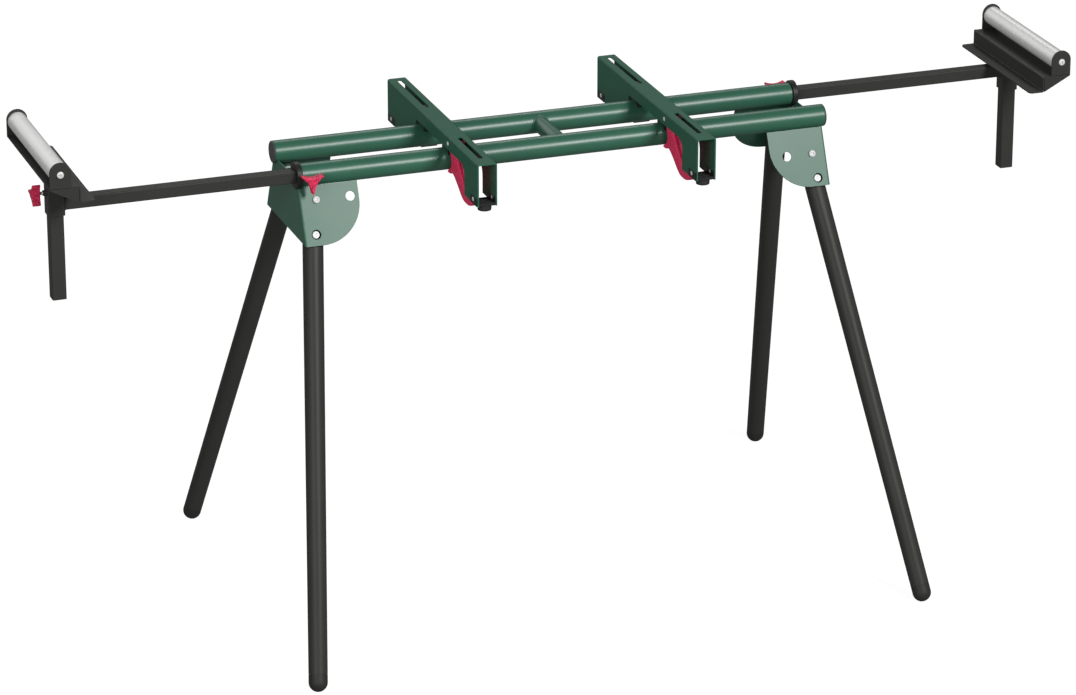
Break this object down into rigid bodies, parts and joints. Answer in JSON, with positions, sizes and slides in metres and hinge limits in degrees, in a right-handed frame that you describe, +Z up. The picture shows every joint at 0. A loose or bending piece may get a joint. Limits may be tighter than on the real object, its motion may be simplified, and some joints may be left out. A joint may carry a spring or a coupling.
{
  "type": "miter saw stand",
  "caption": "Folding four-legged saw stand with two tubes, sliding saw brackets with clamp levers, and pull-out arms with height-adjustable rollers.",
  "frame": {"origin": "centre of the stand on the floor, under the middle of the cross tube", "axes": "+X along the tubes to the right, +Y to the rear, away from the user, +Z up"},
  "size_m": [1.924, 0.8352, 0.9337],
  "materials": {
    "green_coat": "satin powder coat",
    "black_coat": "matt powder coat",
    "black_plastic": "moulded",
    "black_rubber": "matt",
    "red_plastic": "fine grained",
    "roller_aluminium": "satin",
    "zinc": "zinc plated"
  },
  "bodies": {
    "frame": {"front_tube": "green_coat", "rear_tube": "green_coat", "cross_tube": "green_coat", "left_leg_bracket": "green_coat", "right_leg_bracket": "green_coat", "front_tube_collar": "black_plastic", "rear_tube_collar": "black_plastic", "front_tube_cap": "black_plastic", "rear_tube_cap": "black_plastic", "left_front_leg_pivot": "zinc", "left_rear_leg_pivot": "zinc", "right_front_leg_pivot": "zinc", "right_rear_leg_pivot": "zinc"},
    "left_arm": {"left_arm_bar": "black_coat", "left_arm_sleeve": "black_coat"},
    "left_head": {"left_head_post": "black_coat", "left_roller_frame": "black_coat", "left_near_roller_screw": "zinc", "left_far_roller_screw": "zinc"},
    "left_roller": {"left_roller": "roller_aluminium"},
    "left_sleeve_knob": {"left_sleeve_knob": "red_plastic"},
    "front_tube_knob": {"front_tube_knob": "red_plastic"},
    "left_saw_bracket": {"left_saw_bracket": "green_coat", "left_front_insert": "black_plastic", "left_rear_insert": "black_plastic", "left_bracket_seats": "black_plastic", "left_bracket_pad": "black_rubber", "left_lever_pin": "zinc"},
    "left_lever": {"left_bracket_lever": "red_plastic"},
    "right_arm": {"right_arm_bar": "black_coat", "right_arm_sleeve": "black_coat"},
    "right_head": {"right_head_post": "black_coat", "right_roller_frame": "black_coat", "right_near_roller_screw": "zinc", "right_far_roller_screw": "zinc"},
    "right_roller": {"right_roller": "roller_aluminium"},
    "right_sleeve_knob": {"right_sleeve_knob": "red_plastic"},
    "rear_tube_knob": {"rear_tube_knob": "red_plastic"},
    "right_saw_bracket": {"right_saw_bracket": "green_coat", "right_front_insert": "black_plastic", "right_rear_insert": "black_plastic", "right_bracket_seats": "black_plastic", "right_bracket_pad": "black_rubber", "right_lever_pin": "zinc"},
    "right_lever": {"right_bracket_lever": "red_plastic"},
    "left_front_leg": {"left_front_leg": "black_coat", "left_front_foot_cap": "black_rubber"},
    "left_front_button": {"left_front_lock_button": "zinc"},
    "left_rear_leg": {"left_rear_leg": "black_coat", "left_rear_foot_cap": "black_rubber"},
    "left_rear_button": {"left_rear_lock_button": "zinc"},
    "right_front_leg": {"right_front_leg": "black_coat", "right_front_foot_cap": "black_rubber"},
    "right_front_button": {"right_front_lock_button": "zinc"},
    "right_rear_leg": {"right_rear_leg": "black_coat", "right_rear_foot_cap": "black_rubber"},
    "right_rear_button": {"right_rear_lock_button": "zinc"}
  },
  "joints": [
    {"name": "left_arm_extend", "type": "slide", "parent": "frame", "child": "left_arm", "axis": [-1, 0, 0], "range_m": [-0.375, 0.25]},
    {"name": "left_head_height", "type": "slide", "parent": "left_arm", "child": "left_head", "axis": [0, 0, 1], "range_m": [-0.018, 0.12]},
    {"name": "left_roller_spin", "type": "hinge", "parent": "left_head", "child": "left_roller", "pos_m": [-0.9351, -0.0233, 0.9125], "axis": [0, 1, 0], "continuous": true},
    {"name": "left_sleeve_knob_turn", "type": "hinge", "parent": "left_arm", "child": "left_sleeve_knob", "pos_m": [-0.954, -0.0668, 0.8447], "axis": [-1, 0, 0], "range_deg": [0, 720]},
    {"name": "front_tube_knob_turn", "type": "hinge", "parent": "frame", "child": "front_tube_knob", "pos_m": [-0.4732, -0.105, 0.8232], "axis": [0, -1, 0], "range_deg": [0, 720]},
    {"name": "left_bracket_slide", "type": "slide", "parent": "frame", "child": "left_saw_bracket", "axis": [1, 0, 0], "range_m": [-0.155, 0.15]},
    {"name": "left_lever_swing", "type": "hinge", "parent": "left_saw_bracket", "child": "left_lever", "pos_m": [-0.204, -0.093, 0.86], "axis": [-1, 0, 0], "range_deg": [0, 20]},
    {"name": "right_arm_extend", "type": "slide", "parent": "frame", "child": "right_arm", "axis": [1, 0, 0], "range_m": [-0.375, 0.25]},
    {"name": "right_head_height", "type": "slide", "parent": "right_arm", "child": "right_head", "axis": [0, 0, 1], "range_m": [-0.003, 0.12]},
    {"name": "right_roller_spin", "type": "hinge", "parent": "right_head", "child": "right_roller", "pos_m": [0.9351, 0.0233, 0.895], "axis": [0, 1, 0], "continuous": true},
    {"name": "right_sleeve_knob_turn", "type": "hinge", "parent": "right_arm", "child": "right_sleeve_knob", "pos_m": [0.954, 0.0668, 0.8037], "axis": [1, 0, 0], "range_deg": [0, 720]},
    {"name": "rear_tube_knob_turn", "type": "hinge", "parent": "frame", "child": "rear_tube_knob", "pos_m": [0.4732, 0.105, 0.8232], "axis": [0, 1, 0], "range_deg": [0, 720]},
    {"name": "right_bracket_slide", "type": "slide", "parent": "frame", "child": "right_saw_bracket", "axis": [1, 0, 0], "range_m": [-0.15, 0.155]},
    {"name": "right_lever_swing", "type": "hinge", "parent": "right_saw_bracket", "child": "right_lever", "pos_m": [0.1993, -0.093, 0.86], "axis": [-1, 0, 0], "range_deg": [0, 20]},
    {"name": "left_front_leg_fold", "type": "hinge", "parent": "frame", "child": "left_front_leg", "pos_m": [-0.46152, -0.06393, 0.77246], "axis": [0, -0.9133, 0.4072], "range_deg": [0, 97.3]},
    {"name": "left_front_button_press", "type": "slide", "parent": "left_front_leg", "child": "left_front_button", "axis": [0, 0.9133, -0.4072], "range_m": [0, 0.003], "stiffness_N_per_m": 600, "springref_m": -0.001},
    {"name": "left_rear_leg_fold", "type": "hinge", "parent": "frame", "child": "left_rear_leg", "pos_m": [-0.46152, 0.06393, 0.77246], "axis": [0, -0.9133, -0.4072], "range_deg": [0, 97.3]},
    {"name": "left_rear_button_press", "type": "slide", "parent": "left_rear_leg", "child": "left_rear_button", "axis": [0, -0.9133, -0.4072], "range_m": [0, 0.003], "stiffness_N_per_m": 600, "springref_m": -0.001},
    {"name": "right_front_leg_fold", "type": "hinge", "parent": "frame", "child": "right_front_leg", "pos_m": [0.46426, -0.07261, 0.75301], "axis": [0, 0.9133, -0.4072], "range_deg": [0, 85]},
    {"name": "right_front_button_press", "type": "slide", "parent": "right_front_leg", "child": "right_front_button", "axis": [0, 0.9133, -0.4072], "range_m": [0, 0.003], "stiffness_N_per_m": 600, "springref_m": -0.001},
    {"name": "right_rear_leg_fold", "type": "hinge", "parent": "frame", "child": "right_rear_leg", "pos_m": [0.46426, 0.07261, 0.75301], "axis": [0, 0.9133, 0.4072], "range_deg": [0, 85]},
    {"name": "right_rear_button_press", "type": "slide", "parent": "right_rear_leg", "child": "right_rear_button", "axis": [0, -0.9133, -0.4072], "range_m": [0, 0.003], "stiffness_N_per_m": 600, "springref_m": -0.001}
  ]
}
